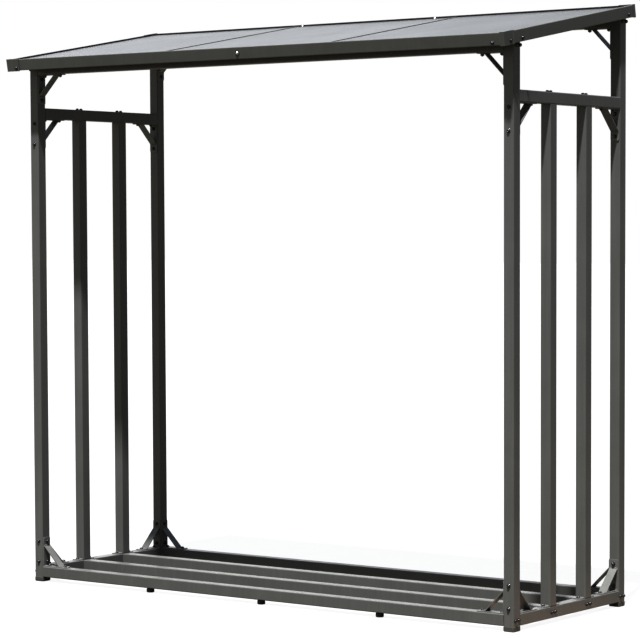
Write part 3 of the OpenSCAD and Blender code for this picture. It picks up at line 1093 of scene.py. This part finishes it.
# ---- Seam screws ----
# Two bright zinc-plated screws on washers pin the middle sheet's upper edge to the ledge, near
# its joints with the others.
SCREW_INSET = 16 * MM
SCREW_PLACES = (-300 * MM, 236 * MM)
SCREW_SCALE = 0.9

bm = bmesh.new()
for place_x in SCREW_PLACES:
    point = (place_x, roof_length - SCREW_INSET, -SHEET_DROP)
    add_domed_bolt(bm, on_roof @ facing(point, (0, 0, 1)) @ Matrix.Scale(SCREW_SCALE, 4))
make_piece("screws_roof_seams", bm, zinc)


# ---- Floor, backdrop and light ----
# A plain pale floor runs out to a plain white backdrop. The key light comes from high in front,
# a little to the right, and wide weak light from behind the left-hand end and from the front.
# The floor gives back a soft grey light, warmer and stronger beside the right-hand end.
FLOOR_COLOUR = (0.035, 0.035, 0.035)
FLOOR_GLOW = (1.0, 1.0, 1.0)
GREY_BOUNCE = (0.090, 0.083, 0.067)
WARM_BOUNCE = (0.270, 0.205, 0.155)
WARM_PLACE = (1.2, 0, 0)
WARM_REACH = (0.25, 0.65)
FLOOR_LIFT = 0.455
FLOOR_REACH = 60
KEY = {"strength": 7.35, "colour": (1.0, 0.985, 0.965), "width": 2.5, "rise": 67.4, "turn": 21}
BACK_FILL = {"strength": 2.4, "colour": (0.97, 0.98, 1.0), "width": 50, "rise": 14, "turn": 218}
PANEL_TOWARDS = Vector((-0.78, 0.62, 0.12)).normalized()
PANEL_LIGHT = (0.925, 0.94, 0.975)
PANEL_EDGE = (0.85, 0.99)
FILL_TOWARDS = Vector((-0.35, -0.92, 0.18)).normalized()
FILL_LIGHT = (0.45, 0.437, 0.42)
FILL_EDGE = (0.35, 0.95)
ROOM_LIGHT = (0.155, 0.158, 0.165)
ROOM_ABOVE = (0.13, 0.155, 0.20)
ROOM_RISE = (0.05, 0.6)
BACKDROP = (0.5, 0.5, 0.5)

floor_mesh = bpy.data.meshes.new("floor")
corners = [(-FLOOR_REACH, -FLOOR_REACH, 0), (FLOOR_REACH, -FLOOR_REACH, 0),
           (FLOOR_REACH, FLOOR_REACH, 0), (-FLOOR_REACH, FLOOR_REACH, 0)]
floor_mesh.from_pydata(corners, [], [(0, 1, 2, 3)])
floor = bpy.data.objects.new("floor", floor_mesh)
bpy.context.scene.collection.objects.link(floor)
floor_material = bpy.data.materials.new("floor")
floor_material.use_nodes = True
tree = floor_material.node_tree
shader = tree.nodes["Principled BSDF"]
shader.inputs["Roughness"].default_value = 0.9
shader.inputs["Specular IOR Level"].default_value = 0.1
ends = {0: add(tree, "NewGeometry").outputs["Position"], 1: WARM_PLACE}
away = add(tree, "VectorMath", ends, operation="DISTANCE").outputs["Value"]
away = spread(tree, away, WARM_REACH, interpolation_type="SMOOTHSTEP")
bounce = mixed(tree, away, WARM_BOUNCE, GREY_BOUNCE)
seen = add(tree, "LightPath").outputs["Is Camera Ray"]
tree.links.new(mixed(tree, seen, bounce, FLOOR_COLOUR), shader.inputs["Base Color"])
tree.links.new(mixed(tree, seen, (0, 0, 0), FLOOR_GLOW), shader.inputs["Emission Color"])
shader.inputs["Emission Strength"].default_value = FLOOR_LIFT
floor_mesh.materials.append(floor_material)

world = bpy.data.worlds.new("backdrop")
bpy.context.scene.world = world
world.use_nodes = True
tree = world.node_tree
direction = add(tree, "TexCoord").outputs["Generated"]
rise = add(tree, "SeparateXYZ", {0: direction}).outputs["Z"]
rise = spread(tree, rise, ROOM_RISE, interpolation_type="SMOOTHSTEP")
lit = mixed(tree, rise, ROOM_LIGHT, ROOM_ABOVE)
for towards, light, edge in ((PANEL_TOWARDS, PANEL_LIGHT, PANEL_EDGE),
                             (FILL_TOWARDS, FILL_LIGHT, FILL_EDGE)):
    agree = add(tree, "VectorMath", {0: direction, 1: towards}, operation="DOT_PRODUCT")
    share = spread(tree, agree.outputs["Value"], edge, interpolation_type="SMOOTHSTEP")
    lit = mixed(tree, share, lit, light)
seen = add(tree, "LightPath").outputs["Is Camera Ray"]
backdrop = mixed(tree, seen, lit, BACKDROP)
tree.links.new(backdrop, tree.nodes["Background"].inputs["Color"])


def add_far_lamp(name, strength, colour, width, rise, turn):
    """A lamp so far off that its light is parallel; width, rise and turn are in degrees."""
    lamp_data = bpy.data.lights.new(name, "SUN")
    lamp_data.energy = strength
    lamp_data.color = colour
    lamp_data.angle = math.radians(width)
    lamp = bpy.data.objects.new(name, lamp_data)
    lamp.rotation_euler = (math.radians(90 - rise), 0, math.radians(turn))
    bpy.context.scene.collection.objects.link(lamp)
    return lamp


add_far_lamp("key", **KEY)
add_far_lamp("back fill", **BACK_FILL).visible_glossy = False

colours = bpy.context.scene.view_settings
colours.view_transform = "Standard"
colours.exposure = 1.0
colours.gamma = 0.75
